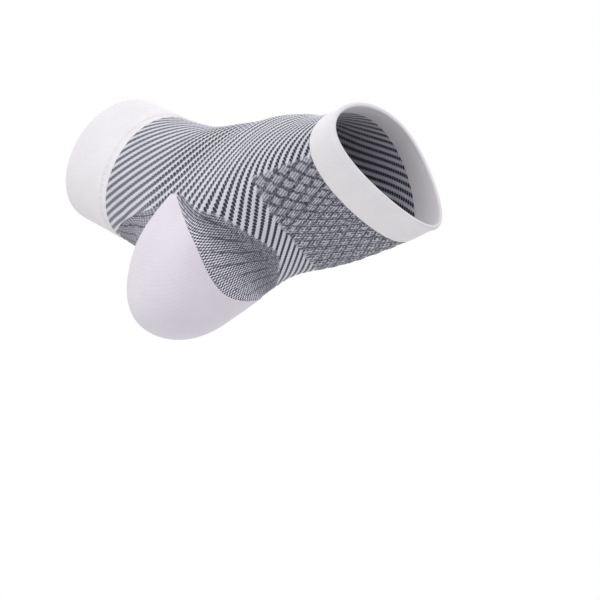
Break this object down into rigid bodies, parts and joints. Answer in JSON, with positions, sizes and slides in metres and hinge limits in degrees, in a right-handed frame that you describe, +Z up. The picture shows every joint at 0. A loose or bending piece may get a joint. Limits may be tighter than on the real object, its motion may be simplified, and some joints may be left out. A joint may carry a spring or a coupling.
{
  "type": "open-toe compression foot sleeve",
  "caption": "Knitted open-toe compression sleeve for the foot and ankle, in worn form: white cuff, heel pocket and toe band, striped tube, grey panels.",
  "frame": {"origin": "middle of the ankle inside the sleeve, where the foot and ankle hold it", "axes": "+X towards the toes, +Y towards the little-toe side, +Z up towards the top of the foot"},
  "size_m": [0.1893, 0.0885, 0.1519],
  "materials": {
    "white_welt": "smooth double-knit white welt, matt",
    "striped_knit": "diagonal white ribs on charcoal, matt knit",
    "sheer_grey_knit": "light grey grid knit with dark courses, matt",
    "white_heel_knit": "dense plain white knit, matt",
    "fine_grey_knit": "fine grey and charcoal knit, matt",
    "basket_grey_knit": "charcoal basket knit with raised cells, matt"
  },
  "bodies": {
    "root": {"ankle_cuff": "white_welt", "striped_tube": "striped_knit", "achilles_gore": "sheer_grey_knit", "heel_pocket": "white_heel_knit", "arch_panel": "fine_grey_knit", "forefoot_pad": "basket_grey_knit", "toe_band": "white_welt"}
  },
  "joints": []
}
